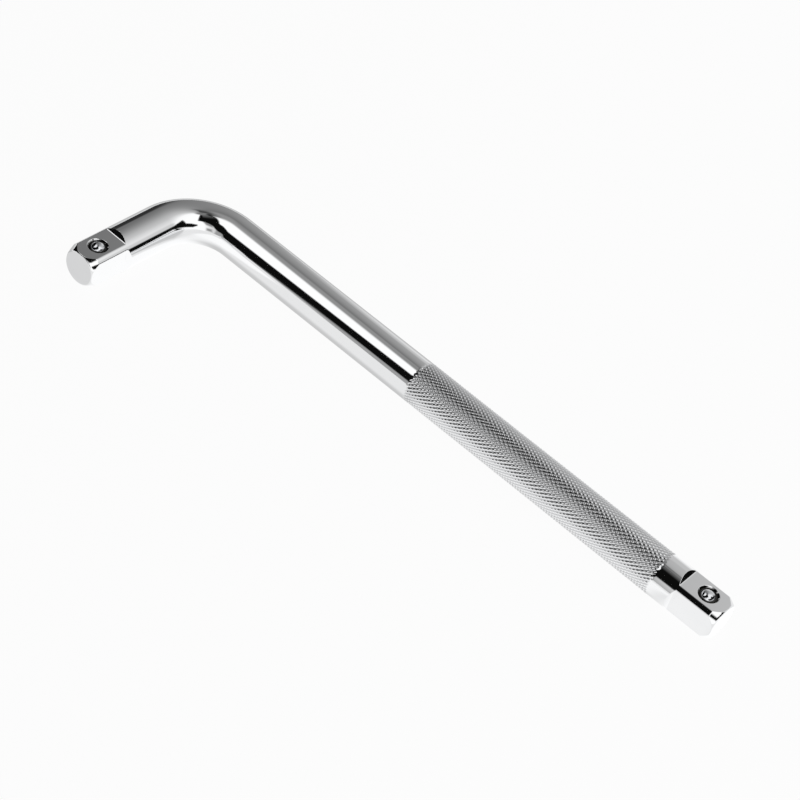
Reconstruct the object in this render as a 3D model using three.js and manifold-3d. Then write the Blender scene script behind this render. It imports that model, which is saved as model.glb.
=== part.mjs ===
// L-shaped drive handle for square-drive sockets.
// One round steel bar is bent to a right angle. Both ends are milled to a male square with a sprung
// ball behind a staked lip, and the outer half of the long arm has a rolled diamond knurl.
// Units are millimetres and +Z is up. The bar lies flat, its long arm along +X and its short arm along -Y.

import * as THREE from 'three';
import { mergeVertices } from 'three/addons/utils/BufferGeometryUtils.js';
import Module from 'manifold-3d';

// Bar
const barDiameter = 16;
const longOverall = 250; // outer side of the short arm to the long arm's end face
const shortOverall = 66; // outer side of the long arm to the short arm's end face
const bendRadius = 20; // on the bar's centreline
const bendSteps = 16;

// Square drive at both ends
const driveSquare = 12.7; // across flats, the half-inch standard drive
const driveLength = 16.5; // end face to where the shoulder's slope meets the flat
const shoulderSlope = 52; // degrees between the shoulder and the flat
const shoulderFillet = 0.8; // between the two
const shoulderSteps = 4;
const endFaceDiameter = 12.3;
const endRimDiameter = 13.4; // where the short bevel round the end face meets the long chamfer
const endRimLength = 0.42;
const endChamferLength = 2.97; // end face to the full bar

// Knurled grip on the long arm
const gripLength = 107.3;
const gripToEnd = 25.3; // from the knurl to the long arm's end face
const knurlStarts = 28; // grooves of each hand round the bar
const knurlHelix = 31; // degrees between a groove and the bar's axis
const knurlRaise = 0.1; // crests stand proud of the bar, because rolling raises them
const knurlDepth = 0.45; // crest to groove bottom

// Ball detent in the upper flat of each square
const ballDiameter = 5.5;
const ballToEnd = 8; // ball's axis to the end face
const boreClearance = 0.1; // ball to bore wall, on the radius
const lipGrip = 0.2; // how far the staked lip closes over the ball, on the radius
const lipDepth = 0.45; // flat to the lip's edge
const lipHeight = 0.5; // undercut below the lip's edge
const stakeDiameter = 7.6; // outside of the ring that the staking punch presses
const stakeWall = 0.5; // plan width of the ring's sloping outer wall
const stakeDepth = 0.65;
const stakeFloor = 0.4; // from the lip's edge out to the deepest ring of the staking
const seatClearance = 0.1; // ball to lip and to spring, and spring to bore bottom
const boreDepth = 8.95; // flat to the end of the bore's straight wall
const drillPoint = 118; // degrees, the cone that the drill leaves

// Spring under each ball
const wireDiameter = 0.6;
const springSideGap = 0.45; // spring to bore wall
const coilGap = 0.46; // between neighbouring turns at rest
const turnSteps = 8;
const wireSides = 5;

// Facets of the turned surfaces
const ballSegments = 24;
const boreSegments = 32;

// Derived sizes
const barRadius = barDiameter / 2;
const gripRadius = barRadius + knurlRaise;
const grooveRadius = gripRadius - knurlDepth;
const halfSquare = driveSquare / 2;
const ballRadius = ballDiameter / 2;
const boreRadius = ballRadius + boreClearance;
const lipRadius = ballRadius - lipGrip;
const lipLevel = halfSquare - lipDepth;
const wireRadius = wireDiameter / 2;
const coilRadius = boreRadius - springSideGap - wireRadius;
const boreFloor = halfSquare - boreDepth;
const coneSlope = Math.tan(THREE.MathUtils.degToRad(90 - drillPoint / 2));

// The ball rests against the lip's edge, and the spring's top turn against the ball.
const ballReach = ballRadius + seatClearance;
const ballLevel = lipLevel - Math.sqrt(ballReach ** 2 - lipRadius ** 2);
const springTop = ballLevel - Math.sqrt((ballReach + wireRadius) ** 2 - coilRadius ** 2);
const wireToCone = (wireRadius + seatClearance) * Math.hypot(1, coneSlope);
const springFoot = boreFloor - (boreRadius - coilRadius) * coneSlope + wireToCone;

// Centreline: short leg, bend and long leg, measured from the short end face.
const shortLeg = shortOverall - barRadius - bendRadius;
const bendLength = (bendRadius * Math.PI) / 2;
const longLeg = longOverall - barRadius - bendRadius;
const barLength = shortLeg + bendLength + longLeg;

const up = new THREE.Vector3(0, 0, 1);

const chrome = new THREE.MeshStandardMaterial({ color: 0xc8cbcf, metalness: 1, roughness: 0.12 });
const ballSteel = new THREE.MeshStandardMaterial({ color: 0xb4b8bd, metalness: 1, roughness: 0.1 });
const springSteel = new THREE.MeshStandardMaterial({ color: 0x80858c, metalness: 1, roughness: 0.35 });

const wasm = await Module();
wasm.setup();

// Merged, closed copy of a geometry without triangles that have shrunk to a line.
function closedMesh(geometry) {
  const bare = geometry.clone();
  bare.deleteAttribute('normal');
  bare.deleteAttribute('uv');
  const merged = mergeVertices(bare);
  const corners = merged.index.array;
  const kept = [];
  for (let i = 0; i < corners.length; i += 3) {
    const [a, b, c] = corners.slice(i, i + 3);
    if (a !== b && b !== c && c !== a) kept.push(a, b, c);
  }
  merged.setIndex(kept);
  return merged;
}

function toSolid(geometry) {
  const merged = closedMesh(geometry);
  return new wasm.Manifold(new wasm.Mesh({
    numProp: 3,
    vertProperties: new Float32Array(merged.attributes.position.array),
    triVerts: new Uint32Array(merged.index.array),
  }));
}

function toGeometry(solid) {
  const mesh = solid.getMesh();
  const geometry = new THREE.BufferGeometry();
  geometry.setAttribute('position', new THREE.BufferAttribute(mesh.vertProperties, 3));
  geometry.setIndex(new THREE.BufferAttribute(mesh.triVerts, 1));
  geometry.computeVertexNormals();
  return geometry;
}

// Closed skin over a row of rings with equal point counts, capped by a fan at each end.
// Ring points turn left as seen from the next ring. falls(ring, column) picks a cell's diagonal.
function loft(rings, falls = () => false) {
  const columns = rings[0].length;
  const points = rings.flat();
  const index = [];
  for (let k = 0; k + 1 < rings.length; k += 1) {
    for (let c = 0; c < columns; c += 1) {
      const next = (c + 1) % columns;
      const near = k * columns + c;
      const side = k * columns + next;
      const far = near + columns;
      const across = side + columns;
      if (falls(k, c)) index.push(near, side, far, side, across, far);
      else index.push(near, side, across, near, across, far);
    }
  }
  const centre = (ring) => ring.reduce((sum, p) => sum.add(p), new THREE.Vector3()).divideScalar(columns);
  const startCap = points.push(centre(rings[0])) - 1;
  const endCap = points.push(centre(rings[rings.length - 1])) - 1;
  const lastRing = (rings.length - 1) * columns;
  for (let c = 0; c < columns; c += 1) {
    const next = (c + 1) % columns;
    index.push(startCap, next, c, endCap, lastRing + c, lastRing + next);
  }
  const geometry = new THREE.BufferGeometry().setFromPoints(points);
  geometry.setIndex(index);
  geometry.computeVertexNormals();
  return geometry;
}

// Point on the centreline and the bar's outward side there, at a distance from the short end face.
// The two axes meet at the frame's origin before the part is centred.
function centreline(distance) {
  const turn = THREE.MathUtils.clamp((distance - shortLeg) / bendRadius, 0, Math.PI / 2);
  const side = new THREE.Vector3(-Math.cos(turn), Math.sin(turn), 0);
  const travel = new THREE.Vector3(Math.sin(turn), Math.cos(turn), 0);
  const straight = Math.min(distance - shortLeg, 0) + Math.max(distance - shortLeg - bendLength, 0);
  const point = new THREE.Vector3(bendRadius, -bendRadius, 0);
  point.addScaledVector(side, bendRadius).addScaledVector(travel, straight);
  return { point, side };
}

// Round bar with end chamfers and the diamond knurl, before milling.
// The knurl is a grid of rows half a diamond apart. Crests and groove crossings alternate along and
// round it, and each cell is folded along the groove that joins its two crossings.
function roundBar() {
  const columns = 2 * knurlStarts;
  const diamondLength = (2 * Math.PI * barRadius) / knurlStarts / Math.tan(THREE.MathUtils.degToRad(knurlHelix));
  const rows = Math.round(gripLength / (diamondLength / 2));
  const gripEnd = barLength - gripToEnd;
  const isCrest = (row, column) => (row + column) % 2 === 0;

  const ringAt = (distance, radiusOf) => {
    const { point, side } = centreline(distance);
    return Array.from({ length: columns }, (_, c) => {
      const angle = (2 * Math.PI * c) / columns;
      const radius = radiusOf(c);
      return point.clone()
        .addScaledVector(side, radius * Math.cos(angle))
        .addScaledVector(up, radius * Math.sin(angle));
    });
  };

  const rings = [];
  rings.push(ringAt(0, () => endFaceDiameter / 2));
  rings.push(ringAt(endRimLength, () => endRimDiameter / 2));
  rings.push(ringAt(endChamferLength, () => barRadius));
  for (let i = 0; i <= bendSteps; i += 1) {
    rings.push(ringAt(shortLeg + (bendLength * i) / bendSteps, () => barRadius));
  }
  const firstRow = rings.length;
  for (let row = 0; row <= rows; row += 1) {
    const plain = row === 0 || row === rows;
    const radiusOf = (c) => (isCrest(row, c) ? gripRadius : grooveRadius);
    rings.push(ringAt(gripEnd - gripLength + (gripLength * row) / rows, plain ? () => barRadius : radiusOf));
  }
  rings.push(ringAt(barLength - endChamferLength, () => barRadius));
  rings.push(ringAt(barLength - endRimLength, () => endRimDiameter / 2));
  rings.push(ringAt(barLength, () => endFaceDiameter / 2));

  const falls = (ring, column) => {
    const row = ring - firstRow;
    return row >= 0 && row < rows && isCrest(row, column);
  };
  return loft(rings, falls);
}

// What the milling cutter takes off one flat of a square. The end face is at x = 0, the arm behind it.
function flatCutter() {
  const clear = barRadius;
  const top = barRadius + clear;
  const slope = THREE.MathUtils.degToRad(shoulderSlope);
  const flatEnd = -driveLength + shoulderFillet * Math.tan(slope / 2);
  const filletEnd = flatEnd - shoulderFillet * Math.sin(slope);
  const filletTop = halfSquare + shoulderFillet * (1 - Math.cos(slope));
  const down = 1.5 * Math.PI;
  const profile = new THREE.Shape();
  profile.moveTo(flatEnd, halfSquare);
  profile.lineTo(clear, halfSquare);
  profile.lineTo(clear, top);
  profile.lineTo(filletEnd - (top - filletTop) / Math.tan(slope), top);
  profile.lineTo(filletEnd, filletTop);
  profile.absarc(flatEnd, halfSquare + shoulderFillet, shoulderFillet, down - slope, down, false);
  const width = 2 * (barRadius + clear);
  const cutter = new THREE.ExtrudeGeometry(profile, {
    depth: width,
    bevelEnabled: false,
    curveSegments: shoulderSteps,
  });
  return cutter.translate(0, 0, -width / 2).rotateX(Math.PI / 2);
}

// What drilling and staking take out of the upper flat, from above the flat to the drill's point.
function detentCutter() {
  const profile = [
    [0, halfSquare + ballRadius],
    [stakeDiameter / 2, halfSquare + ballRadius],
    [stakeDiameter / 2, halfSquare],
    [stakeDiameter / 2 - stakeWall, halfSquare - stakeDepth],
    [lipRadius + stakeFloor, halfSquare - stakeDepth],
    [lipRadius, lipLevel],
    [boreRadius, lipLevel - lipHeight],
    [boreRadius, boreFloor],
    [0, boreFloor - boreRadius * coneSlope],
  ].map(([radius, level]) => new THREE.Vector2(radius, level)).reverse();
  const cutter = new THREE.LatheGeometry(profile, boreSegments);
  return cutter.rotateX(Math.PI / 2).translate(-ballToEnd, 0, 0);
}

function ball() {
  return closedMesh(new THREE.SphereGeometry(ballRadius, ballSegments, ballSegments * 2 / 3).rotateX(Math.PI / 2));
}

// One unbroken helix of wire from the bore's bottom to the ball.
function spring() {
  const turns = (springTop - springFoot) / (wireDiameter + coilGap);
  const steps = Math.round(turns * turnSteps);
  const rise = (springTop - springFoot) / turns / (2 * Math.PI);
  const centres = [];
  const rings = [];
  for (let i = 0; i <= steps; i += 1) {
    const angle = (2 * Math.PI * turns * i) / steps;
    const outward = new THREE.Vector3(Math.cos(angle), Math.sin(angle), 0);
    const along = new THREE.Vector3(-coilRadius * Math.sin(angle), coilRadius * Math.cos(angle), rise).normalize();
    const across = new THREE.Vector3().crossVectors(along, outward);
    const centre = outward.clone().multiplyScalar(coilRadius).setZ(springFoot + rise * angle);
    centres.push(centre);
    rings.push(Array.from({ length: wireSides }, (_, c) => {
      const round = (2 * Math.PI * c) / wireSides;
      return centre.clone()
        .addScaledVector(outward, wireRadius * Math.cos(round))
        .addScaledVector(across, wireRadius * Math.sin(round));
    }));
  }
  let leastGap = Infinity;
  centres.forEach((a, i) => {
    centres.slice(i + turnSteps / 2).forEach((b) => {
      leastGap = Math.min(leastGap, a.distanceTo(b) - wireDiameter);
    });
  });
  console.log(`spring: ${turns.toFixed(2)} turns, least gap to itself ${leastGap.toFixed(3)} mm`);
  return closedMesh(loft(rings));
}

function piece(name, geometry, material) {
  const mesh = new THREE.Mesh(geometry, material);
  mesh.name = name;
  return mesh;
}

// Both ends share one drive: place, and how far the arm is turned from +X.
const drives = [
  { name: 'long_end', position: new THREE.Vector3(longOverall - barRadius, 0, 0), turn: 0 },
  { name: 'short_end', position: new THREE.Vector3(0, barRadius - shortOverall, 0), turn: -Math.PI / 2 },
];

const handle = new THREE.Group();

let bar = toSolid(roundBar());
for (const drive of drives) {
  const place = new THREE.Matrix4().makeRotationZ(drive.turn).setPosition(drive.position);
  for (let side = 0; side < 4; side += 1) {
    bar = bar.subtract(toSolid(flatCutter().rotateX((side * Math.PI) / 2).applyMatrix4(place)));
  }
  bar = bar.subtract(toSolid(detentCutter().applyMatrix4(place)));

  const end = new THREE.Group();
  end.position.copy(drive.position);
  end.rotation.z = drive.turn;
  const detent = new THREE.Group();
  detent.position.x = -ballToEnd;
  const ballMesh = piece(`${drive.name}_ball`, ball(), ballSteel);
  ballMesh.position.z = ballLevel;
  detent.add(ballMesh, piece(`${drive.name}_spring`, spring(), springSteel));
  end.add(detent);
  handle.add(end);
}
handle.add(piece('drive_bar', toGeometry(bar), chrome));

// The origin is the middle of the part's box in plan, on the surface that it lies on.
handle.position.set(barRadius - longOverall / 2, (shortOverall - barRadius - gripRadius) / 2, gripRadius);

export default handle;
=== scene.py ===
# %% [markdown]
# # An L-shaped drive handle in polished chrome
#
# The handle is one round steel bar, bent to a right angle and plated. Each end is milled to a male
# square that takes a socket, with a sprung ball that holds the socket on, and the outer half of the
# long arm has a rolled diamond knurl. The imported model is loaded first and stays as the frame: it
# gives the place of every piece, and the pieces made here replace its plainer solids one by one.

import bmesh
import bpy
import numpy as np
from mathutils import Matrix, Vector


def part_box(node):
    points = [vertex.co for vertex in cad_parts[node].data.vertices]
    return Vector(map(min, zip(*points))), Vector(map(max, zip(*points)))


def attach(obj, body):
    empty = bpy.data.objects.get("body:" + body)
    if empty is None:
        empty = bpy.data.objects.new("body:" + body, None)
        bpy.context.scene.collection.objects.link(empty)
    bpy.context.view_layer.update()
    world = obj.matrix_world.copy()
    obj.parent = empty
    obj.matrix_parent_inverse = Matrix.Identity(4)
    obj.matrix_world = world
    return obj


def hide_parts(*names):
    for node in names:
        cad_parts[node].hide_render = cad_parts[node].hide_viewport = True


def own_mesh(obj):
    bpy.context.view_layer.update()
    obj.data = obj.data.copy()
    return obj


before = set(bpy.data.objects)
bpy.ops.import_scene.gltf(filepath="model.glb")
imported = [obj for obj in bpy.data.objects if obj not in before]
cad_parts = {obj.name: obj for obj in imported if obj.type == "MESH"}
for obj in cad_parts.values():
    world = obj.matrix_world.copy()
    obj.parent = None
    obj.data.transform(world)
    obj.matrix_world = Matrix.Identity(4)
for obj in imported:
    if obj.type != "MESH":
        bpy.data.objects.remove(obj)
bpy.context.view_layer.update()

# %% [markdown]
# ## Sizes
#
# A few lengths drive everything, in millimetres as a maker would read them off a drawing. The place
# of the bar comes from the frame: the bar lies on the floor, its long arm along +X against the far
# side of the box and its short arm along -Y against the near end. All angles round the bar start at
# the top, where the balls are, and turn towards the inside of the bend.

# %% Sizes of the bar
MM = 0.001
BAR_RADIUS = 8 * MM
BEND_RADIUS = 20 * MM
HALF_SQUARE = 12.7 * MM / 2
DRIVE_LENGTH = 16.5 * MM
SHOULDER_SLOPE = np.radians(52)
SHOULDER_FILLET = 0.5 * MM
CHAMFER_RADII = np.array([6.15, 6.42, 6.7, 8]) * MM
CHAMFER_DISTANCES = np.array([0, 0.14, 0.42, 2.97]) * MM
GRIP_LENGTH = 107.3 * MM
GRIP_TO_END = 25.3 * MM

bar_low, bar_high = (Vector(corner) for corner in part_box("drive_bar"))
GRIP_RADIUS = (bar_high.z - bar_low.z) / 2
CORNER = np.array([bar_low.x + BAR_RADIUS, bar_high.y - GRIP_RADIUS, bar_low.z + GRIP_RADIUS])
UP = np.array([0.0, 0.0, 1.0])

SHORT_LEG = CORNER[1] - bar_low.y - BEND_RADIUS
BEND_LENGTH = BEND_RADIUS * np.pi / 2
LONG_LEG = bar_high.x - CORNER[0] - BEND_RADIUS
BAR_LENGTH = SHORT_LEG + BEND_LENGTH + LONG_LEG
print(f"bar {BAR_LENGTH / MM:.1f} mm along its axis, crests {GRIP_RADIUS / MM:.2f} mm from it")

# %% [markdown]
# ## The bar's axis
#
# A bent bar is a section carried along a path. The path is three pieces: a short straight, a quarter
# circle and a long straight. With the path as a function of distance, every surface of the bar can be
# written in bar coordinates (distance along, angle round, distance from the axis) and bent last.

# %% Bar coordinates to points
def bar_axis(distance):
    """Point on the axis and direction to the inside of the bend, at a distance from the short end.

    The turn grows from nothing to a right angle along the bend: turn = (distance - short leg) / bend
    radius, held between 0 and a quarter turn. The point is the bend's centre, less the bend radius
    along the inward side, plus whatever length is straight along the direction of travel.
    """
    turn = np.clip((distance - SHORT_LEG) / BEND_RADIUS, 0, np.pi / 2)
    inward = np.stack([np.cos(turn), -np.sin(turn), np.zeros_like(turn)], axis=-1)
    travel = np.stack([np.sin(turn), np.cos(turn), np.zeros_like(turn)], axis=-1)
    straight = np.minimum(distance - SHORT_LEG, 0) + np.maximum(distance - SHORT_LEG - BEND_LENGTH, 0)
    bend_centre = CORNER + np.array([BEND_RADIUS, -BEND_RADIUS, 0])
    point = bend_centre - BEND_RADIUS * inward + straight[..., None] * travel
    return point, inward


def bar_points(distance, angle, radius):
    """Points of the bar: axis point + radius x (cos angle x up + sin angle x inward)."""
    distance, angle, radius = np.broadcast_arrays(distance, angle, radius)
    point, inward = bar_axis(distance)
    outward = np.cos(angle)[..., None] * UP + np.sin(angle)[..., None] * inward
    return point + radius[..., None] * outward


print("axis ends:", bar_axis(np.array([0.0, BAR_LENGTH]))[0].round(5).tolist())

# %% [markdown]
# ## Patches
#
# The bar's skin is several grids that meet edge to edge: two drives, the plain shank, the knurl and
# two detents. Each grid is kept as points and four-cornered faces. Points that fall together are
# merged at the end, which closes the seams and turns any squeezed cell into a triangle.

# %% Grids to faces and faces to a piece
def grid_faces(rows, columns, closed=True):
    """Faces of a grid of points, row after row; closed joins the last column to the first."""
    row = np.arange(rows - 1)[:, None]
    column = np.arange(columns if closed else columns - 1)[None, :]
    right = (column + 1) % columns
    corners = [row * columns + column, row * columns + right]
    corners += [(row + 1) * columns + right, (row + 1) * columns + column]
    return np.stack(corners, axis=-1)


def mesh_from_patches(name, patches, weld=2e-6):
    """One closed mesh from (points, faces) patches: joined, welded and turned to face outwards."""
    points = np.concatenate([p.reshape(-1, 3) for p, _ in patches])
    starts = np.cumsum([0] + [p.size // 3 for p, _ in patches])
    faces = [f.reshape(-1, f.shape[-1]) + start for (_, f), start in zip(patches, starts)]
    mesh = bpy.data.meshes.new(name)
    mesh.from_pydata(points, [], [face for part in faces for face in part.tolist()])
    work = bmesh.new()
    work.from_mesh(mesh)
    bmesh.ops.remove_doubles(work, verts=work.verts, dist=weld)
    unused = [vertex for vertex in work.verts if not vertex.link_faces]
    bmesh.ops.delete(work, geom=unused, context="VERTS")
    bmesh.ops.recalc_face_normals(work, faces=work.faces)
    open_edges = sum(1 for edge in work.edges if len(edge.link_faces) != 2)
    volume = work.calc_volume(signed=True)
    work.to_mesh(mesh)
    work.free()
    mesh.polygons.foreach_set("use_smooth", np.ones(len(mesh.polygons), dtype=bool))
    triangles = sum(len(polygon.vertices) - 2 for polygon in mesh.polygons)
    print(f"{name}: {triangles} triangles, {open_edges} open edges, {volume * 1e6:.3f} cm3")
    return mesh


def place_piece(mesh, body, slot, *nodes):
    """New object for a finished mesh: it rides on a body and stands for the CAD nodes named."""
    piece = bpy.data.objects.new(mesh.name, mesh)
    bpy.context.scene.collection.objects.link(piece)
    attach(piece, body)
    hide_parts(*nodes)
    return piece


print("patch helpers ready")

# %% [markdown]
# ## The male squares
#
# A square drive is milled into the round bar, so its section is a square whose corners are still arcs
# of the bar. Where the cutter stops, it leaves a steep shoulder with a small fillet at its root, which
# draws a half-moon on each side. It could be a boolean cut of four cutters. A grid whose columns
# follow the edge between flat and arc gives clean edges instead: on the shank that edge has shrunk to
# a point, so the flat's columns simply close up there.

# %% Columns and rows of a drive
FLAT_ANGLE = np.arccos(HALF_SQUARE / BAR_RADIUS)
HALF_FLAT = BAR_RADIUS * np.sin(FLAT_ANGLE)
HALF_HOLE = 4.2 * MM
HOLE_CELLS = 16
EDGE_SUPPORT = 0.2 * MM
ARC_CELLS = 36
RIM_ANGLE = np.pi / 2 / ARC_CELLS

flat_middle = np.linspace(-HALF_HOLE, HALF_HOLE, HOLE_CELLS + 1)
flat_rim = np.array([HALF_FLAT, HALF_FLAT - EDGE_SUPPORT])
FLAT_COLUMNS = np.concatenate([-flat_rim, flat_middle, flat_rim[::-1]]) / HALF_FLAT
COLUMNS = 4 * (len(FLAT_COLUMNS) + ARC_CELLS - 1)


def drive_columns(flat_angle, flat_level):
    """Angle and radius of every column, for rows of a given flat half-angle and flat level.

    In each quarter the flat's columns lie at fixed shares of its width: tan(angle) = share x
    tan(flat half-angle), at radius level / cos(angle). The arc's columns are spread evenly between
    two rim columns that stay at a fixed angle from the flats, at the bar's radius.
    """
    flat = np.arctan(FLAT_COLUMNS * np.tan(flat_angle)[:, None])
    share = np.linspace(0, 1, ARC_CELLS - 1)
    arc_room = np.pi / 2 - 2 * flat_angle - 2 * RIM_ANGLE
    arc = (flat_angle + RIM_ANGLE)[:, None] + arc_room[:, None] * share
    angle = np.concatenate([flat, arc], axis=1)
    radius = np.concatenate([flat_level[:, None] / np.cos(flat), np.full_like(arc, BAR_RADIUS)], axis=1)
    quarters = np.arange(4)[:, None] * np.pi / 2
    angles = (angle[:, None, :] + quarters).reshape(len(angle), -1)
    return angles, np.tile(radius, (1, 4))


print(f"{COLUMNS} columns round a drive, flats {2 * HALF_FLAT / MM:.2f} mm wide")

# %% Surface of one drive
BALL_TO_END = 8 * MM
SHOULDER_ROWS = 18
PLAIN_FROM_END = 20 * MM
FACE_SHARES = np.array([0, 0.5, 0.85, 0.97, 1])[:, None]
CHAMFER_SHARES = np.array([0.05, 0.1, 0.15, 0.22, 0.3, 0.4, 0.6, 0.8, 0.95, 1])[:, None]
BEFORE_HOLE = 3.3 * MM
BEHIND_HOLE = np.array([14, 15.9]) * MM
hole_rows = np.linspace(BALL_TO_END - HALF_HOLE, BALL_TO_END + HALF_HOLE, HOLE_CELLS + 1)


def shoulder_distance(rise):
    """Distance from the end face at which the shoulder has risen above the flat by the amount given.

    A root fillet turns the flat up to the shoulder's slope: while it lasts, rise = fillet x (1 - cos
    turn) and the way back is fillet x sin turn. Above it the shoulder is straight.
    """
    turn = np.arccos(np.clip(1 - rise / SHOULDER_FILLET, np.cos(SHOULDER_SLOPE), 1))
    above = np.maximum(rise - SHOULDER_FILLET * (1 - np.cos(SHOULDER_SLOPE)), 0)
    root = DRIVE_LENGTH - SHOULDER_FILLET * np.tan(SHOULDER_SLOPE / 2)
    return root + SHOULDER_FILLET * np.sin(turn) + above / np.tan(SHOULDER_SLOPE)


def drive_rows():
    """Distance from the end face, angle and radius of a drive's whole grid, from the end's middle.

    End face: the rim radius times a share. Chamfer: shares of the way from the rim to the square's own
    outline, each as far back as the turned chamfer has that radius. Square: the outline at fixed
    distances. Shoulder: see shoulder_distance.
    """
    square_angle, outline = (a[0] for a in drive_columns(np.array([FLAT_ANGLE]), np.array([HALF_SQUARE])))
    face_radius = CHAMFER_RADII[0]
    cone_radius = face_radius + CHAMFER_SHARES * (outline - face_radius)
    cone_distance = np.interp(cone_radius, CHAMFER_RADII, CHAMFER_DISTANCES)
    straight = np.concatenate([[BEFORE_HOLE], hole_rows, BEHIND_HOLE])[:, None]

    closing = 1 - np.linspace(0, 1, SHOULDER_ROWS) ** 2
    closing = np.append(closing, [0, 0])
    level = BAR_RADIUS * np.cos(FLAT_ANGLE * closing)
    back = shoulder_distance(level - HALF_SQUARE)
    # Two round rings end the grid: one a cell beyond the half-moon's tip and one on the plain shank.
    back[-2] += BAR_RADIUS * RIM_ANGLE
    back[-1] = PLAIN_FROM_END
    shoulder_angle, shoulder_radius = drive_columns(FLAT_ANGLE * closing, level)

    zero = np.zeros_like(outline)
    distance = [FACE_SHARES * zero, cone_distance, cone_distance[-1:] + EDGE_SUPPORT]
    distance += [straight + zero, back[:, None] + zero]
    radius = [FACE_SHARES * face_radius + zero, cone_radius]
    radius += [np.tile(outline, (1 + len(straight), 1)), shoulder_radius]
    flat_rows = len(FACE_SHARES) + len(CHAMFER_SHARES) + 1 + len(straight)
    angle = [np.tile(square_angle, (flat_rows, 1)), shoulder_angle]
    return (np.concatenate(part) for part in (distance, angle, radius))


def along_bar(from_end, long_end):
    """Distance from the short end face, for a distance from either end face."""
    return BAR_LENGTH - from_end if long_end else from_end


def drive_patch(long_end):
    """One drive's grid, with the cells above the ball's bore left out of its upper flat."""
    from_end, angle, radius = drive_rows()
    points = bar_points(along_bar(from_end, long_end), angle, radius)
    faces = grid_faces(*angle.shape)
    first_row = int(np.argmin(np.abs(from_end[:, 0] - hole_rows[0])))
    first_column = int(np.argmin(np.abs(FLAT_COLUMNS * HALF_FLAT + HALF_HOLE)))
    keep = np.ones(faces.shape[:2], dtype=bool)
    keep[first_row:first_row + HOLE_CELLS, first_column:first_column + HOLE_CELLS] = False
    return points, faces[keep]


patches = [drive_patch(long_end) for long_end in (False, True)]
print("drive grids:", [points.shape[:2] for points, _ in patches])

# %% [markdown]
# ## The staked detents
#
# Each upper flat has a drilled bore. After the ball went in, a ring-shaped punch pressed a dish round
# it, and the metal closed over the ball as a thin lip. Seen from above that is a dark ring, a bright
# edge and the ball. The hole is a turned profile, joined to the flat's square opening by a few rings
# that go from square to round.

# %% Bore, lip and dish
BALL_RADIUS = 5.5 * MM / 2
BALL_CLEARANCE = 0.1 * MM
LIP_OVERLAP = 0.2 * MM
BORE_RADIUS = BALL_RADIUS + BALL_CLEARANCE
LIP_RADIUS = BALL_RADIUS - LIP_OVERLAP
DISH_RADIUS = 7.6 * MM / 2
DISH_SUPPORT = 0.15 * MM
BORE_DEPTH = 8.95 * MM
DRILL_SLOPE = np.radians(31)
CONE_DEPTH = BORE_RADIUS * np.tan(DRILL_SLOPE)
RING_POINTS = 4 * HOLE_CELLS
ROUNDING = np.array([0, 0.45])[:, None, None]

dish = np.array([[0, 0], [-0.06, -0.04], [-0.12, -0.11], [-0.5, -0.6], [-0.58, -0.66], [-0.7, -0.68]])
dish = dish * MM + [DISH_RADIUS, 0]
lip = np.array([[0.4, -0.67], [0.16, -0.45], [0.08, -0.42], [0.02, -0.43], [0, -0.48]])
lip = lip * MM + [LIP_RADIUS, 0]
bore_top = np.array([[-0.05, -0.9], [0, -1.0], [0, -1.2]]) * MM + [BORE_RADIUS, 0]
bore_foot = np.array([[0, 0.1], [0, 0], [-0.1, -0.06]]) * MM + [BORE_RADIUS, -BORE_DEPTH]
drill_point = np.array([[0, -BORE_DEPTH - CONE_DEPTH]])
dish_rim = np.array([[DISH_RADIUS + DISH_SUPPORT, 0]])
detent_profile = np.concatenate([dish_rim, dish, lip, bore_top, bore_foot, drill_point])
print("detent profile of", len(detent_profile), "points, dish", round(-dish[-1, 1] / MM, 2), "mm deep")


def detent_patch(long_end):
    """Rings from the flat's square opening to a circle, then the turned profile down to the drill point.

    A square ring's point at angle a lies where its side is cut by equal steps, a circle's point at
    radius x (cos a, sin a) with a in equal steps from the same corner. In between they are mixed.
    """
    step = np.arange(HOLE_CELLS) / HOLE_CELLS * 2 - 1
    one = np.ones(HOLE_CELLS)
    square = HALF_HOLE * np.concatenate([
        np.stack([step, -one], axis=1), np.stack([one, step], axis=1),
        np.stack([-step, one], axis=1), np.stack([-one, -step], axis=1)])
    around = np.radians(-135) + np.arange(RING_POINTS) * 2 * np.pi / RING_POINTS
    circle = np.stack([np.cos(around), np.sin(around)], axis=1)
    flat_rings = (1 - ROUNDING) * square + ROUNDING * detent_profile[0, 0] * circle
    turned_rings = detent_profile[:, 0, None, None] * circle
    across, from_ball = np.moveaxis(np.concatenate([flat_rings, turned_rings]), -1, 0)
    depth = np.concatenate([np.zeros(len(ROUNDING)), detent_profile[:, 1]])[:, None]
    level = HALF_SQUARE + depth + np.zeros_like(across)
    from_end = BALL_TO_END + from_ball
    points = bar_points(along_bar(from_end, long_end), np.arctan2(across, level), np.hypot(across, level))
    return points, grid_faces(*across.shape)


patches += [detent_patch(long_end) for long_end in (False, True)]
print("detent grids:", [points.shape[:2] for points, _ in patches[2:]])

# %% [markdown]
# ## Shank and bend
#
# Between the drives the bar is plain round. Straight stretches need few rings. The bend needs many,
# because a mirror finish shows every facet.

# %% Plain rings
BEND_RINGS = 64
SHANK_RINGS = 12
BEND_SUPPORT = 2 * MM
GRIP_END = BAR_LENGTH - GRIP_TO_END
GRIP_START = GRIP_END - GRIP_LENGTH
RUN_OUT = 1.6 * MM  # length over which the knurl fades out at each end of the grip
RUN_OUT_SUPPORT = 0.2 * MM
ring_angles = np.arange(4 * ARC_CELLS) * RIM_ANGLE


def shank_patch(distances):
    """Rings of the bar's radius at the distances given."""
    rings = bar_points(distances[:, None], ring_angles[None, :], np.full((1, 1), BAR_RADIUS))
    return rings, grid_faces(len(distances), len(ring_angles))


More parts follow.
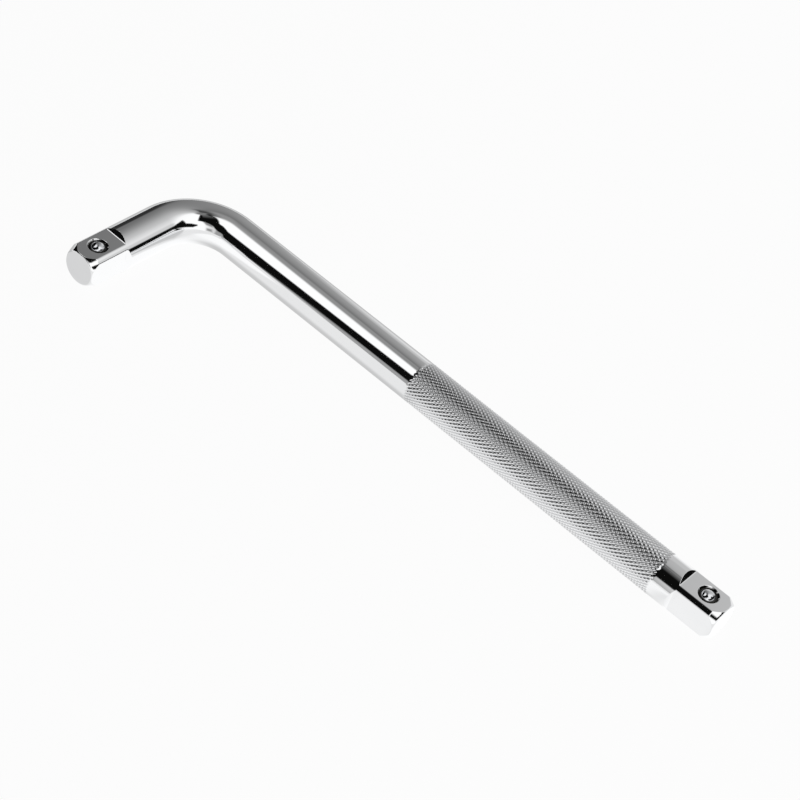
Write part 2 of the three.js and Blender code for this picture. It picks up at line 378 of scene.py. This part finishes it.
bend = np.linspace(SHORT_LEG, SHORT_LEG + BEND_LENGTH, BEND_RINGS + 1)
first_stretch = np.concatenate([[PLAIN_FROM_END, SHORT_LEG - BEND_SUPPORT], bend])
knurl_foot, knurl_head = GRIP_START - RUN_OUT / 2, GRIP_END + RUN_OUT / 2
to_knurl = np.linspace(bend[-1] + BEND_SUPPORT, knurl_foot - RUN_OUT_SUPPORT, SHANK_RINGS)
to_knurl = np.append(to_knurl, knurl_foot)
last_stretch = np.array([knurl_head, knurl_head + RUN_OUT_SUPPORT, BAR_LENGTH - PLAIN_FROM_END])
patches += [shank_patch(np.concatenate([first_stretch, to_knurl])), shank_patch(last_stretch)]
print("rings on the plain shank:", len(first_stretch) + len(to_knurl) + len(last_stretch))

# %% [markdown]
# ## The knurl
#
# Two rollers press crossing helical grooves, and what is left between them is a field of diamonds. A
# bump texture would do from far away, but real flanks are what makes a chromed grip sparkle, so each
# diamond is modelled. Rolling and plating leave its flanks rounded, so they are smooth: every diamond
# mirrors the same small picture of the studio, and the pictures join into rows of dots. One diamond is
# a small grid in two parameters, the shares of the way from one groove to the next for each hand. Its
# depth is the deeper of the two grooves there, and one roller has pressed harder than the other. All the
# diamonds are one array: the grid, moved to every place of the lattice.

# %% Diamonds
KNURL_STARTS = ARC_CELLS  # so that a diamond's points meet the shank's rings point by point
KNURL_ROWS = 92
KNURL_DEPTH = 0.45 * MM
CROSS_DEPTH = 0.29 * MM
DIAMOND_CELLS = 4

KNURL_START = GRIP_START + RUN_OUT / 2
half_diamond = (GRIP_LENGTH - RUN_OUT) / KNURL_ROWS
diamond_share = np.linspace(0, 1, DIAMOND_CELLS + 1)


def groove_drop(u, v):
    """Depth under the crests: the deeper groove at shares u and v, each depth x (1 + cos turn) / 2."""
    return np.maximum(KNURL_DEPTH * (1 + np.cos(2 * np.pi * u)) / 2,
                      CROSS_DEPTH * (1 + np.cos(2 * np.pi * v)) / 2)


def knurl_patch(rows, cells):
    """Diamonds of the rows given, each a grid of shares (u, v) of which the faces in cells are kept.

    A point lies at angle = (column + half a step on odd rows + (u + v) / 2) steps round the bar, and
    at distance = knurl start + (row + u - v) half diamonds along it. Its radius is the crest's less the
    grooves' depth there.
    """
    u, v = np.meshgrid(diamond_share, diamond_share, indexing="ij")
    row, column = np.meshgrid(rows, np.arange(KNURL_STARTS), indexing="ij")
    row, column = row.reshape(-1, 1, 1), column.reshape(-1, 1, 1)
    angle = (column + (row % 2) / 2 + (u + v) / 2) * 2 * np.pi / KNURL_STARTS
    distance = KNURL_START + (row + u - v) * half_diamond
    radius = GRIP_RADIUS - groove_drop(u, v)
    starts = np.arange(len(row)) * u.size
    return bar_points(distance, angle, radius), cells + starts[:, None, None]


cells = grid_faces(DIAMOND_CELLS + 1, DIAMOND_CELLS + 1, closed=False).reshape(-1, 4)
u_index, v_index = np.divmod(cells[:, 0], DIAMOND_CELLS + 1)
on_middle = cells[u_index == v_index]
first_row, last_row = np.array([0]), np.array([KNURL_ROWS])
patches.append(knurl_patch(np.arange(1, KNURL_ROWS), cells))
patches.append(knurl_patch(first_row, cells[u_index > v_index]))
patches.append(knurl_patch(first_row, on_middle[:, [0, 2, 3]]))
patches.append(knurl_patch(last_row, cells[u_index < v_index]))
patches.append(knurl_patch(last_row, on_middle[:, [0, 1, 2]]))
print(f"{KNURL_STARTS * (KNURL_ROWS - 1)} whole diamonds, {2 * half_diamond / MM:.2f} mm long")

# %% [markdown]
# The rollers let go of the bar little by little, so at each end of the grip the grooves fade out and leave
# a toothed edge. Here the lattice goes on for a millimetre and a half while its depth is eased to nothing.

# %% Where the knurl runs out
RUN_OUT_RINGS = 7


def run_out_patch(row, plain_distance):
    """Rings from an end row of the diamonds to the plain bar, along which the grooves fade out.

    On the lattice of diamonds a point has u = turn + along / 2 and v = turn - along / 2, with turn in steps
    round the bar and along in half diamonds. Its radius goes from the knurl's to the plain bar's by the
    smooth step 3 t^2 - 2 t^3.
    """
    way = np.linspace(0, 1, RUN_OUT_RINGS + 1)[:, None]
    fade = way * way * (3 - 2 * way)
    turn = np.arange(DIAMOND_CELLS * KNURL_STARTS) / DIAMOND_CELLS
    along = row + way * ((plain_distance - KNURL_START) / half_diamond - row)
    knurled = GRIP_RADIUS - groove_drop(turn + along / 2, turn - along / 2)
    radius = knurled + fade * (BAR_RADIUS - knurled)
    distance = KNURL_START + along * half_diamond
    return bar_points(distance, turn * 2 * np.pi / KNURL_STARTS, radius), grid_faces(*radius.shape)


patches.append(run_out_patch(0, knurl_foot))
patches.append(run_out_patch(KNURL_ROWS, knurl_head))
bar_mesh = mesh_from_patches("bent_drive_bar", patches)

# %% [markdown]
# Each point of the bar keeps two shares for the finish: how deep in a groove of the knurl it lies, where
# the polishing wheel never reached and shade is painted, and how deep in the dish round a ball, where
# painted shade goes dark.

# %% Groove depth and recess depth
# Painted shade in the dishes grows from none to full between these two depths under the flat
DISH_SHADE_START = 0.25 * MM
DISH_SHADE_FULL = 0.45 * MM
SLACK = 0.05 * MM


def point_layer(mesh, name, values):
    """New attribute with one number for each point."""
    layer = mesh.attributes.new(name, "FLOAT", "POINT")
    layer.data.foreach_set("value", values.astype(np.float32))


def mark_bar(mesh):
    """Groove depth on the knurl and recess depth in the detents, kept at each point.

    groove = (crest radius - radius) / knurl depth inside the grip, else 0. recess, the share of painted
    shade in a dish, = (depth under the flat - shade start) / (full shade depth - shade start) near the axis
    of a bore, else 0.
    """
    points = np.empty(3 * len(mesh.vertices))
    mesh.vertices.foreach_get("co", points)
    points = points.reshape(-1, 3)
    radius = np.hypot(points[:, 1] - CORNER[1], points[:, 2] - CORNER[2])
    grip_start, grip_end = (bar_axis(np.array([d]))[0][0, 0] for d in (knurl_foot, knurl_head))
    inside = (points[:, 0] > grip_start - SLACK) & (points[:, 0] < grip_end + SLACK)
    point_layer(mesh, "groove", np.where(inside, np.clip((GRIP_RADIUS - radius) / KNURL_DEPTH, 0, 1), 0))

    depth = CORNER[2] + HALF_SQUARE - points[:, 2]
    # share of painted shade in the dishes round the balls
    dish_shade = np.clip((depth - DISH_SHADE_START) / (DISH_SHADE_FULL - DISH_SHADE_START), 0, 1)
    bores = bar_axis(np.array([BALL_TO_END, BAR_LENGTH - BALL_TO_END]))[0]
    from_bore = np.hypot(points[:, None, 0] - bores[:, 0], points[:, None, 1] - bores[:, 1]).min(axis=1)
    in_bore = (from_bore < DISH_RADIUS + SLACK) & (depth < BORE_DEPTH + CONE_DEPTH + SLACK)
    point_layer(mesh, "recess", np.where(in_bore, dish_shade, 0))
    print(f"{int(inside.sum())} points on the grip, {int(in_bore.sum())} in the detents")


mark_bar(bar_mesh)
place_piece(bar_mesh, "bar", "bar_chrome", "drive_bar")

# %% [markdown]
# ## The balls
#
# A bearing ball is a sphere, so a grid of longitude and latitude makes it: the two poles close up when
# the points are merged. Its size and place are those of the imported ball.

# %% Balls
BALL_ROUND = 64


def ball_patch(node):
    """Centre + radius x (sin polar x cos round, sin polar x sin round, cos polar) from the node's box."""
    low, high = (np.array(corner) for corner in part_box(node))
    polar = np.linspace(0, np.pi, BALL_ROUND // 2 + 1)[:, None]
    around = np.arange(BALL_ROUND)[None, :] * 2 * np.pi / BALL_ROUND
    direction = np.stack([np.sin(polar) * np.cos(around), np.sin(polar) * np.sin(around),
                          np.cos(polar) + 0 * around], axis=-1)
    radius = (high[2] - low[2]) / 2
    return (low + high) / 2 + radius * direction, grid_faces(BALL_ROUND // 2 + 1, BALL_ROUND)


ball_pieces = []
for end in ("long", "short"):
    mesh = mesh_from_patches(f"{end}_detent_ball", [ball_patch(f"{end}_end_ball")])
    ball_pieces.append(place_piece(mesh, f"{end}_ball", "ball_steel", f"{end}_end_ball"))

# %% [markdown]
# ## The springs
#
# Under each ball a small coil spring pushes it against the lip. A wound spring has open turns in the
# middle and a closed turn at each end, where the wire lies on itself to give a flat seat. The wire is
# a circle carried along a helix whose pitch changes.

# %% Springs
WIRE_RADIUS = 0.6 * MM / 2
COIL_CLEARANCE = 0.45 * MM
COIL_RADIUS = BORE_RADIUS - COIL_CLEARANCE - WIRE_RADIUS
SPRING_TURNS = 5.5
SEAT_RISE = 2.1 * WIRE_RADIUS
TURN_STEPS = 40
WIRE_ROUND = 12


def spring_patch(node):
    """Wire centre = coil radius x (cos turn, sin turn), at a height that rises slowly in the end turns.

    The rise per turn is one wire and a little in the first and last turn, and even between them. Round
    the centre, the wire's points are wire radius x (cos a x outward + sin a x across), where across is
    square to the wire. A ring squeezed to a point closes each end of the wire.
    """
    low, high = (np.array(corner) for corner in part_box(node))
    middle = (low + high) / 2
    foot, head = low[2] + WIRE_RADIUS, high[2] - WIRE_RADIUS
    turn = np.linspace(0, SPRING_TURNS, int(SPRING_TURNS * TURN_STEPS) + 1)
    levels = [foot, foot + SEAT_RISE, head - SEAT_RISE, head]
    height = np.interp(turn, [0, 1, SPRING_TURNS - 1, SPRING_TURNS], levels)
    angle = 2 * np.pi * turn
    outward = np.stack([np.cos(angle), np.sin(angle), 0 * angle], axis=-1)
    centre = COIL_RADIUS * outward + middle
    centre[:, 2] = height
    along = np.gradient(centre, axis=0)
    along /= np.linalg.norm(along, axis=1, keepdims=True)
    across = np.cross(along, outward)
    around = np.arange(WIRE_ROUND) * 2 * np.pi / WIRE_ROUND
    section = np.cos(around)[:, None] * outward[:, None, :] + np.sin(around)[:, None] * across[:, None, :]
    rings = centre[:, None, :] + WIRE_RADIUS * section
    ends = [np.repeat(centre[[i]], WIRE_ROUND, axis=0)[None] for i in (0, -1)]
    points = np.concatenate([ends[0], rings, ends[1]])
    return points, grid_faces(len(turn) + 2, WIRE_ROUND)


spring_pieces = []
for end in ("long", "short"):
    node = f"{end}_end_spring"
    mesh = mesh_from_patches(f"{end}_detent_spring", [spring_patch(node)])
    spring = place_piece(mesh, "bar", "spring_steel", node)
    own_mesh(spring)
    spring_pieces.append(spring)

# %% [markdown]
# ## Finishes
#
# Polished chrome has almost no colour of its own. What makes it real is small: the polish is not the
# same all over, so the sharpness of the reflections wanders a little, and there are hair-fine marks
# from the polishing wheel. Noise on the piece's own coordinates drives both. The knurl's grooves are
# duller, and painted shade darkens them, both by the groove depth kept on the mesh; the dishes round the
# balls are painted black with shade, by their recess depth.

# %% Node helpers
def new_finish(name):
    """Empty node material with its shader and output joined; returns material, tree and shader."""
    material = bpy.data.materials.new(name)
    material.use_nodes = True
    tree = material.node_tree
    shader = tree.nodes["Principled BSDF"]
    shader.inputs["Metallic"].default_value = 1.0
    return material, tree, shader


def noise_of_piece(tree, scale, stretch=(1, 1, 1), detail=4.0):
    """Noise between 0 and 1 on the piece's own coordinates, with scale in cells to the metre."""
    place = tree.nodes.new("ShaderNodeTexCoord")
    mapping = tree.nodes.new("ShaderNodeMapping")
    mapping.inputs["Scale"].default_value = stretch
    noise = tree.nodes.new("ShaderNodeTexNoise")
    noise.inputs["Scale"].default_value = scale
    noise.inputs["Detail"].default_value = detail
    tree.links.new(place.outputs["Object"], mapping.inputs["Vector"])
    tree.links.new(mapping.outputs["Vector"], noise.inputs["Vector"])
    return noise.outputs["Fac"]


def remap(tree, value, low, high, start=0.0, stop=1.0):
    """Straight line that takes start to low and stop to high."""
    node = tree.nodes.new("ShaderNodeMapRange")
    node.inputs["From Min"].default_value = start
    node.inputs["From Max"].default_value = stop
    node.inputs["To Min"].default_value = low
    node.inputs["To Max"].default_value = high
    tree.links.new(value, node.inputs["Value"])
    return node.outputs["Result"]


def mix_colours(tree, share, first, second):
    """Colour between two, each a socket or three numbers."""
    node = tree.nodes.new("ShaderNodeMix")
    node.data_type = "RGBA"
    tree.links.new(share, node.inputs["Factor"])
    colour_inputs = [socket for socket in node.inputs if socket.type == "RGBA"]
    for socket, colour in zip(colour_inputs, (first, second)):
        if isinstance(colour, tuple):
            socket.default_value = (*colour, 1)
        else:
            tree.links.new(colour, socket)
    return next(socket for socket in node.outputs if socket.type == "RGBA")


def arithmetic(tree, operation, first, second):
    """One arithmetic node; each side is a socket or a number."""
    node = tree.nodes.new("ShaderNodeMath")
    node.operation = operation
    for socket, value in zip(node.inputs, (first, second)):
        if isinstance(value, (int, float)):
            socket.default_value = value
        else:
            tree.links.new(value, socket)
    return node.outputs["Value"]


def shallow_bump(tree, shader, height, distance, strength):
    """Bump of a given depth in metres on a shader's normal."""
    bump = tree.nodes.new("ShaderNodeBump")
    bump.inputs["Distance"].default_value = distance
    bump.inputs["Strength"].default_value = strength
    tree.links.new(height, bump.inputs["Height"])
    tree.links.new(bump.outputs["Normal"], shader.inputs["Normal"])


print("finish helpers ready")

# %% Chrome of the bar
PLATE_COLOURS = (0.88, 0.885, 0.895), (0.93, 0.935, 0.94)
# Painted shade: the knurl's grooves darken towards their bottoms
GROOVE_SHADE_COLOUR = (0.42, 0.425, 0.435)
# Painted shade: the dishes round the balls go near black deeper down
DISH_SHADE_COLOUR = (0.025, 0.024, 0.022)
PLATE_ROUGHNESS = 0.035, 0.085
GROOVE_ROUGHNESS = 0.06
DULL_FROM, GROOVE_SHADE_FROM = 0.2, 0.3
CLOUD_SCALE, MARK_SCALE = 90, 2600
MARK_STRETCH = (0.15, 1, 1)
MARK_DEPTH, MARK_STRENGTH = 2e-7, 0.25
NOISE_MIDDLE = 0.3, 0.7


def bar_chrome():
    """Chrome plate: a polish that wanders with the noise, dull grooves darkened by painted shade, and
    dishes painted dark with shade.
    """
    material, tree, shader = new_finish("bar_chrome")
    groove = tree.nodes.new("ShaderNodeAttribute")
    groove.attribute_name = "groove"
    cloud = noise_of_piece(tree, CLOUD_SCALE)
    marks = noise_of_piece(tree, MARK_SCALE, stretch=MARK_STRETCH, detail=2.0)
    plate = mix_colours(tree, cloud, *PLATE_COLOURS)
    # Painted shade in the knurl's grooves, growing with the groove depth
    depth = remap(tree, groove.outputs["Fac"], 0.0, 1.0, GROOVE_SHADE_FROM, 1.0)
    plate = mix_colours(tree, depth, plate, GROOVE_SHADE_COLOUR)
    # Painted shade in the dishes round the balls, growing with the recess depth
    recess = tree.nodes.new("ShaderNodeAttribute")
    recess.attribute_name = "recess"
    shaded_plate = mix_colours(tree, recess.outputs["Fac"], plate, DISH_SHADE_COLOUR)
    tree.links.new(shaded_plate, shader.inputs["Base Color"])
    polish = remap(tree, cloud, *PLATE_ROUGHNESS, *NOISE_MIDDLE)
    dull = remap(tree, groove.outputs["Fac"], 0.0, GROOVE_ROUGHNESS, DULL_FROM, 1.0)
    tree.links.new(arithmetic(tree, "ADD", polish, dull), shader.inputs["Roughness"])
    shallow_bump(tree, shader, marks, MARK_DEPTH, MARK_STRENGTH)
    return material


bar_mesh.materials.append(bar_chrome())
print("bar finish:", bar_mesh.materials[0].name)

# %% Steel of the balls and springs
BALL_COLOURS = (0.7, 0.71, 0.73), (0.8, 0.81, 0.83)
BALL_ROUGHNESS = 0.04, 0.09
HAZE_SCALE = 1500
WIRE_COLOURS = (0.36, 0.37, 0.40), (0.52, 0.53, 0.56)
WIRE_ROUGHNESS = 0.25, 0.4
STREAK_SCALE = 4000
STREAK_STRETCH = (1, 1, 0.4)
STREAK_DEPTH, STREAK_STRENGTH = 5e-6, 0.4


def ball_steel():
    """Ground and polished steel, a little darker than chrome, with a very fine grinding haze."""
    material, tree, shader = new_finish("ball_steel")
    haze = noise_of_piece(tree, HAZE_SCALE)
    tree.links.new(mix_colours(tree, haze, *BALL_COLOURS), shader.inputs["Base Color"])
    roughness = remap(tree, haze, *BALL_ROUGHNESS, *NOISE_MIDDLE)
    tree.links.new(roughness, shader.inputs["Roughness"])
    return material


def spring_steel():
    """Drawn spring wire: dull, with darker streaks left by the drawing die."""
    material, tree, shader = new_finish("spring_steel")
    streak = noise_of_piece(tree, STREAK_SCALE, stretch=STREAK_STRETCH)
    tree.links.new(mix_colours(tree, streak, *WIRE_COLOURS), shader.inputs["Base Color"])
    roughness = remap(tree, streak, *WIRE_ROUGHNESS, *NOISE_MIDDLE)
    tree.links.new(roughness, shader.inputs["Roughness"])
    shallow_bump(tree, shader, streak, STREAK_DEPTH, STREAK_STRENGTH)
    return material


ball_finish, spring_finish = ball_steel(), spring_steel()
for piece in ball_pieces:
    piece.data.materials.append(ball_finish)
for piece in spring_pieces:
    piece.data.materials.append(spring_finish)
print("small parts finished:", len(ball_pieces), "balls and", len(spring_pieces), "springs")

# %% [markdown]
# ## The studio
#
# A mirror-bright tool is lit by what it reflects, so the studio matters more than the lamps. The bar
# lies on a white table under a light tent: a dome of glowing cloth with soft white panels, a grey back
# wall, and dark openings round the camera, which give chrome its black streaks. The dome is painted by
# direction: azimuth from +X towards +Y, and height above the table. It is not seen by the camera. The
# table is plain white to the camera, but what the bar mirrors of it is painted too, in millimetres:
# brighter paper where light falls on it, and shade under the bar and behind it. Each panel has a name, a
# brightness, a soft edge and an outline, and lies over the panels listed before it.

# %% Painting with soft panels
def distance_inside(x, y, outline):
    """Distance of points to an outline's nearest side, positive inside it and negative outside.

    For each side, the nearest point is found by its share along the side, held between 0 and 1. A point
    is inside when a level line from it crosses an odd number of sides.
    """
    nearest = np.full(x.shape, np.inf)
    inside = np.zeros(x.shape, dtype=bool)
    for (x0, y0), (x1, y1) in zip(outline, outline[1:] + outline[:1]):
        side_x, side_y = x1 - x0, y1 - y0
        along = (x - x0) * side_x + (y - y0) * side_y
        share = np.clip(along / (side_x ** 2 + side_y ** 2), 0, 1)
        nearest = np.minimum(nearest, np.hypot(x - x0 - share * side_x, y - y0 - share * side_y))
        if side_y:
            crossing = x0 + (y - y0) * side_x / side_y
            inside ^= ((y0 > y) != (y1 > y)) & (x < crossing)
    return np.where(inside, nearest, -nearest)


def paint_panel(glow, x, y, brightness, edge, outline):
    """Glow with one panel laid over it.

    The panel's share goes from 0 to 1 as the distance inside its outline goes from minus to plus its
    soft edge, by the smooth step 3 t^2 - 2 t^3.
    """
    step = np.clip(distance_inside(x, y, outline) / edge / 2 + 0.5, 0, 1)
    return glow + step * step * (3 - 2 * step) * (brightness - glow)


def glowing_mesh(name, points, glow, closed):
    """Mesh of a grid of points, each of which keeps its glow; closed joins the last column to the first."""
    faces = grid_faces(*glow.shape, closed=closed)
    mesh = bpy.data.meshes.new(name)
    mesh.from_pydata(points.reshape(-1, 3), [], faces.reshape(-1, 4).tolist())
    point_layer(mesh, "glow", glow.ravel())
    return mesh


def read_glow(tree):
    """Node output with the glow kept at each point."""
    node = tree.nodes.new("ShaderNodeAttribute")
    node.attribute_name = "glow"
    return node.outputs["Fac"]


print("panel helpers ready")

# %% White table
TABLE_SIZE = 3.0
TABLE_NEAR_X = np.arange(-160, 200, 1.5) * MM
TABLE_NEAR_Y = np.arange(-80, 60, 1.5) * MM
TABLE_FAR = np.array([TABLE_SIZE / 2, 0.7, 0.4])
TABLE_WHITE = (0.95, 0.95, 0.95, 1)
TABLE_GLOW = 0.95
MIRRORED_GLOW = 0.87
TABLE_PANELS = (
    ("grey behind the shank", 0.55, 10, ((-180, 42), (-180, 90), (-10, 90), (-10, 42))),
    ("grey beyond the short arm", 0.55, 10, ((-180, -60), (-180, 90), (-134, 90), (-134, -60))),
    ("sheet inside the bend", 1.07, 3,
     ((-120, -31), (-120, 20), (-109, 18), (-105, 13), (-97, 8), (-90, 4), (-87, -6), (-92, -31))),
    ("shade before the short end", 0.72, 1.5, ((-145, -60), (-145, -34), (-112, -34), (-112, -60))),
    ("shade beside the long arm", 0.62, 3, ((-104, 14), (-104, 40), (-8, 40), (-8, 15))),
    ("light beside the grip", 1.02, 3, ((-6, -60), (-6, 70), (100, 70), (100, -60))),
    ("shade under the grip", 0.8, 1.5, ((-6, 17), (-6, 36), (102, 36), (102, 17))),
    ("light beside the long square", 0.96, 2, ((105, -20), (105, 16), (123, 16), (123, -20))),
    ("light under the long square", 1.08, 1.5, ((106, 17), (106, 40), (122, 40), (122, 17))),
    ("light before the long end", 1.08, 2, ((122.5, 16), (122.5, 48), (190, 48), (190, 16))),
)


def table():
    """Large white sheet under the bar, a grid that is fine near the bar.

    To the camera, a little of its white is lit, so the bar's shadow stays on it. As the bar mirrors it,
    each point has its own glow: bright paper, with shade close to the bar.
    """
    x, y = np.meshgrid(*(np.concatenate([-TABLE_FAR, near, TABLE_FAR[::-1]])
                         for near in (TABLE_NEAR_X, TABLE_NEAR_Y)))
    glow = np.full(x.shape, MIRRORED_GLOW)
    for _, brightness, edge, outline in TABLE_PANELS:
        glow = paint_panel(glow, x / MM, y / MM, brightness, edge, outline)
    mesh = glowing_mesh("white_table", np.stack([x, y, np.zeros_like(x)], axis=-1), glow, closed=False)
    material = bpy.data.materials.new("table_white")
    material.use_nodes = True
    tree = material.node_tree
    tree.nodes.remove(tree.nodes["Principled BSDF"])
    paper = tree.nodes.new("ShaderNodeBsdfDiffuse")
    paper.inputs["Color"].default_value = TABLE_WHITE
    emission = tree.nodes.new("ShaderNodeEmission")
    path = tree.nodes.new("ShaderNodeLightPath")
    seen = path.outputs["Is Camera Ray"]
    glossy, through = path.outputs["Is Glossy Ray"], path.outputs["Is Transmission Ray"]
    mirrored = arithmetic(tree, "MAXIMUM", glossy, through)
    strength = arithmetic(tree, "MAXIMUM", seen, arithmetic(tree, "MULTIPLY", mirrored, read_glow(tree)))
    tree.links.new(strength, emission.inputs["Strength"])
    share = arithmetic(tree, "MAXIMUM", arithmetic(tree, "MULTIPLY", seen, TABLE_GLOW), mirrored)
    mix = tree.nodes.new("ShaderNodeMixShader")
    tree.links.new(share, mix.inputs["Fac"])
    tree.links.new(paper.outputs["BSDF"], mix.inputs[1])
    tree.links.new(emission.outputs["Emission"], mix.inputs[2])
    tree.links.new(mix.outputs["Shader"], tree.nodes["Material Output"].inputs["Surface"])
    mesh.materials.append(material)
    sheet = bpy.data.objects.new("white_table", mesh)
    bpy.context.scene.collection.objects.link(sheet)


table()
print("table", TABLE_SIZE, "m across, with", len(TABLE_PANELS), "painted panels")

# %% Painting the tent
BACK_WALL = (
    (0, 1.1), (35, 1.05), (55, 0.8), (75, 0.6), (95, 0.5), (112, 0.4), (128, 0.29), (145, 0.17),
    (158, 0.22), (185, 1.1), (245, 1.1), (262, 0.65), (285, 0.85), (300, 1.1), (360, 1.1))
TENT_PANELS = (
    ("shade on the back wall's right", 0.66, 5, ((39, 16), (39, 34), (52, 34), (52, 16))),
    ("low back light", 0.58, 6, ((70, -5), (70, 38), (100, 42), (118, 22), (118, -5))),
    ("glow along the foot of the back", 0.84, 8, ((62, -9), (62, 10), (114, 10), (114, -9))),
    ("dim corner", 0.03, 4, ((142, 0), (145, 22), (156, 22), (158, 0))),
    ("grey high in the back corner", 0.3, 8,
     ((148, 51), (148, 76), (200, 76), (194, 69), (184, 63), (177, 57), (172, 51))),
    ("high back", 0.06, 7, ((126, 68), (140, 71), (160, 71), (192, 73), (192, 86), (126, 84))),
    ("dark above", 0.02, 5, ((185, 74), (215, 75), (240, 70), (240, 88), (185, 88))),
    ("grey front", 0.3, 5, ((274, 5), (276, 18), (292, 18), (292, 5))),
    ("grey in front, higher up", 0.28, 5, ((274, 30), (274, 48), (300, 60), (306, 50), (294, 34))),
    ("grey step under the opening", 0.36, 4, ((238, -8), (240, 14), (247, 20), (262, 30), (268, -8))),
    ("opening far left", 0.004, 2.5,
     ((157, -5), (160, 36), (172, 45), (192, 47), (206, 42), (216, 34), (223, 25), (230, 24), (230, -5))),
    ("opening left of the camera", 0.004, 2.5,
     ((221, 26), (237, 49), (247, 55), (276, 44), (268, 28), (261, 21), (255, 18), (249, 17), (243, 14),
      (238, 1), (235, -5), (224, -5))),
    ("opening above the camera", 0.004, 2.5,
     ((246, 50), (244, 58), (236, 64), (227, 69), (216, 73), (216, 86), (322, 86), (323, 50), (300, 49),
      (282, 43), (268, 33))),
    ("grey over the camera", 0.12, 8, ((228, 76), (228, 95), (300, 95), (300, 76))),
    ("opening to the right", 0.004, 2.5,
     ((335, 11), (329, 16), (321, 22), (322, 29), (332, 30), (342, 32), (360, 32), (368, 42), (378, 48),
      (386, 36), (400, 22), (409, 18), (424, 12), (424, -4), (394, -4), (388, 8))),
    ("zenith", 0.2, 3, ((-180, 84), (540, 84), (540, 99), (-180, 99))),
)


def tent_glow(azimuth, height):
    """Brightness by direction in degrees: straight lines round the back wall, then each panel over it.

    Azimuths are first brought within half a turn of the panel's middle.
    """
    glow = np.interp(azimuth, *zip(*BACK_WALL))
    for _, brightness, edge, outline in TENT_PANELS:
        middle = np.mean([corner[0] for corner in outline])
        near = (azimuth - middle + 180) % 360 - 180 + middle
        glow = paint_panel(glow, near, height, brightness, edge, outline)
    return glow


print("glow above the long arm:", tent_glow(np.array([92.0]), np.array([45.0])).round(2))

# %% Light tent
TENT_RADIUS = 0.7
TENT_ROUND, TENT_RISE = 360, 90


def light_tent():
    """Half sphere over the table: radius x (cos height x (cos azimuth, sin azimuth), sin height).

    Each point keeps its glow, and the cloth's material only reads that number.
    """
    height = np.linspace(0, 90, TENT_RISE + 1)[:, None]
    azimuth = np.arange(TENT_ROUND)[None, :] * 360 / TENT_ROUND
    height, azimuth = np.broadcast_arrays(height, azimuth)
    rise, around = np.radians(height), np.radians(azimuth)
    dome = TENT_RADIUS * np.stack([np.cos(rise) * np.cos(around), np.cos(rise) * np.sin(around),
                                   np.sin(rise)], axis=-1)
    mesh = glowing_mesh("light_tent", dome, tent_glow(azimuth, height), closed=True)
    material = bpy.data.materials.new("tent_cloth")
    material.use_nodes = True
    material.cycles.emission_sampling = "NONE"
    tree = material.node_tree
    tree.nodes.remove(tree.nodes["Principled BSDF"])
    emission = tree.nodes.new("ShaderNodeEmission")
    tree.links.new(read_glow(tree), emission.inputs["Strength"])
    tree.links.new(emission.outputs["Emission"], tree.nodes["Material Output"].inputs["Surface"])
    mesh.materials.append(material)
    tent = bpy.data.objects.new("light_tent", mesh)
    tent.visible_camera = False
    bpy.context.scene.collection.objects.link(tent)


light_tent()
print(len(TENT_PANELS), "panels on a tent of radius", TENT_RADIUS, "m")

# %% World and view
def white_world():
    """White behind everything, for rays that leave the table and the tent."""
    world = bpy.data.worlds.new("white_world")
    bpy.context.scene.world = world
    world.use_nodes = True
    world.node_tree.nodes["Background"].inputs["Color"].default_value = (1, 1, 1, 1)
    world.node_tree.nodes["Background"].inputs["Strength"].default_value = 1.0


white_world()
bpy.context.scene.view_settings.view_transform = "Standard"
print("view transform:", bpy.context.scene.view_settings.view_transform)

# %% [markdown]
# ## The camera
#
# The picture was taken from above the inside of the bend, with the camera rolled so that the long arm
# falls across the frame. The camera is described as a photographer would: where it looks, from which
# side and how high, how far away, and how much it is rolled.

# %% Camera
FRAME_PIXELS = 800
FOCAL_PIXELS = 2202.7
AIM = CORNER + np.array([110.85, -12.11, 0]) * MM
SIDE_ANGLE, RISE_ANGLE, ROLL_ANGLE = np.radians([29.529, 43.27, 17.454])
CAMERA_DISTANCE = 747 * MM
SENSOR_WIDTH = 36
CLIP_START = 0.01


def photo_camera():
    """Camera at aim + distance x back, its axes turned about back by the roll."""
    back = np.array([np.sin(SIDE_ANGLE) * np.cos(RISE_ANGLE), -np.cos(SIDE_ANGLE) * np.cos(RISE_ANGLE),
                     np.sin(RISE_ANGLE)])
    right = np.array([np.cos(SIDE_ANGLE), np.sin(SIDE_ANGLE), 0])
    above = np.cross(back, right)
    across = np.cos(ROLL_ANGLE) * right + np.sin(ROLL_ANGLE) * above
    upright = np.cos(ROLL_ANGLE) * above - np.sin(ROLL_ANGLE) * right
    lens = bpy.data.cameras.new("photo_camera")
    lens.sensor_width = SENSOR_WIDTH
    lens.lens = SENSOR_WIDTH * FOCAL_PIXELS / FRAME_PIXELS
    lens.clip_start = CLIP_START
    camera = bpy.data.objects.new("photo_camera", lens)
    place = np.eye(4)
    place[:3, :3] = np.stack([across, upright, back], axis=1)
    place[:3, 3] = AIM + CAMERA_DISTANCE * back
    camera.matrix_world = Matrix(place.tolist())
    bpy.context.scene.collection.objects.link(camera)
    bpy.context.scene.camera = camera
    return camera


camera = photo_camera()
print(f"lens {camera.data.lens:.1f} mm, {CAMERA_DISTANCE:.3f} m from the bar")
